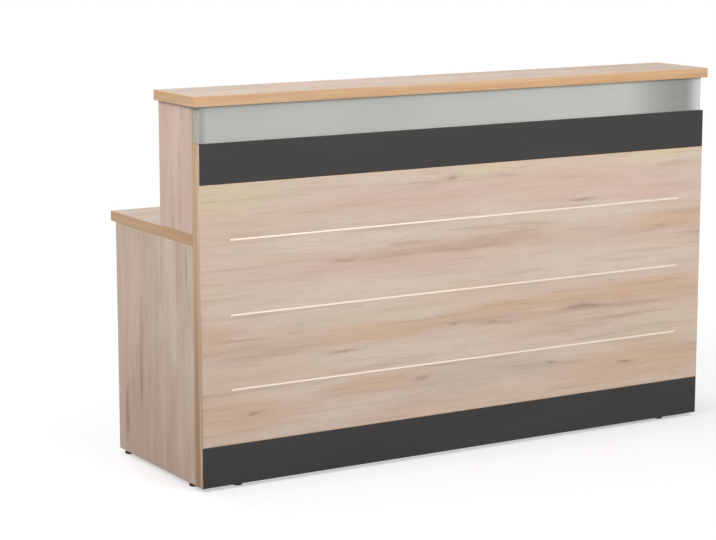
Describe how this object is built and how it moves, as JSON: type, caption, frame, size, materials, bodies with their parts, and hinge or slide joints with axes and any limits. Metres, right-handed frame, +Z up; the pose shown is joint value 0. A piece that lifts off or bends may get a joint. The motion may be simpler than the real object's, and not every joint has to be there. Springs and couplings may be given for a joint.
{
  "type": "reception desk",
  "caption": "Oak reception desk with charcoal bands, inlay strips, a raised visitor counter, a staff worktop with cable grommets, a drawer pedestal and levelling glides.",
  "frame": {"origin": "on the floor under the middle of the desk's box", "axes": "+X along the desk towards the pedestal end, -Y towards the visitors, +Y towards the staff, +Z up"},
  "size_m": [1.86, 0.603, 1.15],
  "materials": {
    "oak_board": "satin oak melamine on board",
    "oak_edge": "honey oak edge band, eased",
    "charcoal_board": "charcoal melamine, fine texture",
    "pale_board": "pale grey satin laminate",
    "inlay_metal": "bright satin",
    "fitting_steel": "zinc plated",
    "handle_metal": "satin nickel",
    "drawer_steel": "grey powder coat",
    "runner_plastic": "natural nylon",
    "black_plastic": "matt moulded"
  },
  "bodies": {
    "desk": {"counter_top": "oak_board", "worktop": "oak_board", "end_panel_left": "oak_board", "end_panel_right": "oak_board", "riser_panel_left": "oak_board", "riser_panel_right": "oak_board", "riser_divider": "oak_board", "front_panel": "oak_board", "front_facing": "oak_board", "pedestal_gable": "oak_board", "pedestal_back": "oak_board", "pedestal_base": "oak_board", "counter_edge_band": "oak_edge", "worktop_edge_band": "oak_edge", "upper_band": "charcoal_board", "plinth_band": "charcoal_board", "fascia_panel": "pale_board", "fascia_return_left": "pale_board", "fascia_return_right": "pale_board", "inlay_strip_top": "inlay_metal", "inlay_strip_middle": "inlay_metal", "inlay_strip_bottom": "inlay_metal", "glide_insert_left_front": "fitting_steel", "glide_insert_left_back": "fitting_steel", "glide_insert_right_front": "fitting_steel", "glide_insert_right_back": "fitting_steel", "glide_insert_gable_front": "fitting_steel", "glide_insert_gable_back": "fitting_steel", "glide_insert_visitor_left": "fitting_steel", "glide_insert_visitor_right": "fitting_steel", "worktop_bracket_left": "fitting_steel", "worktop_bracket_middle": "fitting_steel", "worktop_bracket_right": "fitting_steel", "runner_top_left": "runner_plastic", "runner_top_right": "runner_plastic", "runner_middle_left": "runner_plastic", "runner_middle_right": "runner_plastic", "runner_file_left": "runner_plastic", "runner_file_right": "runner_plastic", "grommet_liner_left": "black_plastic", "grommet_liner_right": "black_plastic"},
    "drawer_top": {"drawer_front_top": "oak_board", "drawer_body_top": "drawer_steel", "drawer_handle_top": "handle_metal"},
    "drawer_middle": {"drawer_front_middle": "oak_board", "drawer_body_middle": "drawer_steel", "drawer_handle_middle": "handle_metal"},
    "drawer_file": {"drawer_front_file": "oak_board", "drawer_body_file": "drawer_steel", "drawer_handle_file": "handle_metal"},
    "glide_left_front": {"glide_left_front": "black_plastic"},
    "glide_left_back": {"glide_left_back": "black_plastic"},
    "glide_right_front": {"glide_right_front": "black_plastic"},
    "glide_right_back": {"glide_right_back": "black_plastic"},
    "glide_gable_front": {"glide_gable_front": "black_plastic"},
    "glide_gable_back": {"glide_gable_back": "black_plastic"},
    "glide_visitor_left": {"glide_visitor_left": "black_plastic"},
    "glide_visitor_right": {"glide_visitor_right": "black_plastic"},
    "grommet_cap_left": {"grommet_cap_left": "black_plastic"},
    "grommet_cap_right": {"grommet_cap_right": "black_plastic"}
  },
  "joints": [
    {"name": "drawer_top_slide", "type": "slide", "parent": "desk", "child": "drawer_top", "axis": [0, 1, 0], "range_m": [0, 0.32]},
    {"name": "drawer_middle_slide", "type": "slide", "parent": "desk", "child": "drawer_middle", "axis": [0, 1, 0], "range_m": [0, 0.32]},
    {"name": "drawer_file_slide", "type": "slide", "parent": "desk", "child": "drawer_file", "axis": [0, 1, 0], "range_m": [0, 0.32]},
    {"name": "glide_left_front_level", "type": "slide", "parent": "desk", "child": "glide_left_front", "axis": [0, 0, 1], "range_m": [-0.012, 0]},
    {"name": "glide_left_back_level", "type": "slide", "parent": "desk", "child": "glide_left_back", "axis": [0, 0, 1], "range_m": [-0.012, 0]},
    {"name": "glide_right_front_level", "type": "slide", "parent": "desk", "child": "glide_right_front", "axis": [0, 0, 1], "range_m": [-0.012, 0]},
    {"name": "glide_right_back_level", "type": "slide", "parent": "desk", "child": "glide_right_back", "axis": [0, 0, 1], "range_m": [-0.012, 0]},
    {"name": "glide_gable_front_level", "type": "slide", "parent": "desk", "child": "glide_gable_front", "axis": [0, 0, 1], "range_m": [-0.012, 0]},
    {"name": "glide_gable_back_level", "type": "slide", "parent": "desk", "child": "glide_gable_back", "axis": [0, 0, 1], "range_m": [-0.012, 0]},
    {"name": "glide_visitor_left_level", "type": "slide", "parent": "desk", "child": "glide_visitor_left", "axis": [0, 0, 1], "range_m": [-0.012, 0]},
    {"name": "glide_visitor_right_level", "type": "slide", "parent": "desk", "child": "glide_visitor_right", "axis": [0, 0, 1], "range_m": [-0.012, 0]},
    {"name": "grommet_cap_left_turn", "type": "hinge", "parent": "desk", "child": "grommet_cap_left", "pos_m": [-0.647, 0.0255, 0.751], "axis": [0, 0, 1], "continuous": true},
    {"name": "grommet_cap_right_turn", "type": "hinge", "parent": "desk", "child": "grommet_cap_right", "pos_m": [0.219, 0.0255, 0.751], "axis": [0, 0, 1], "continuous": true}
  ]
}
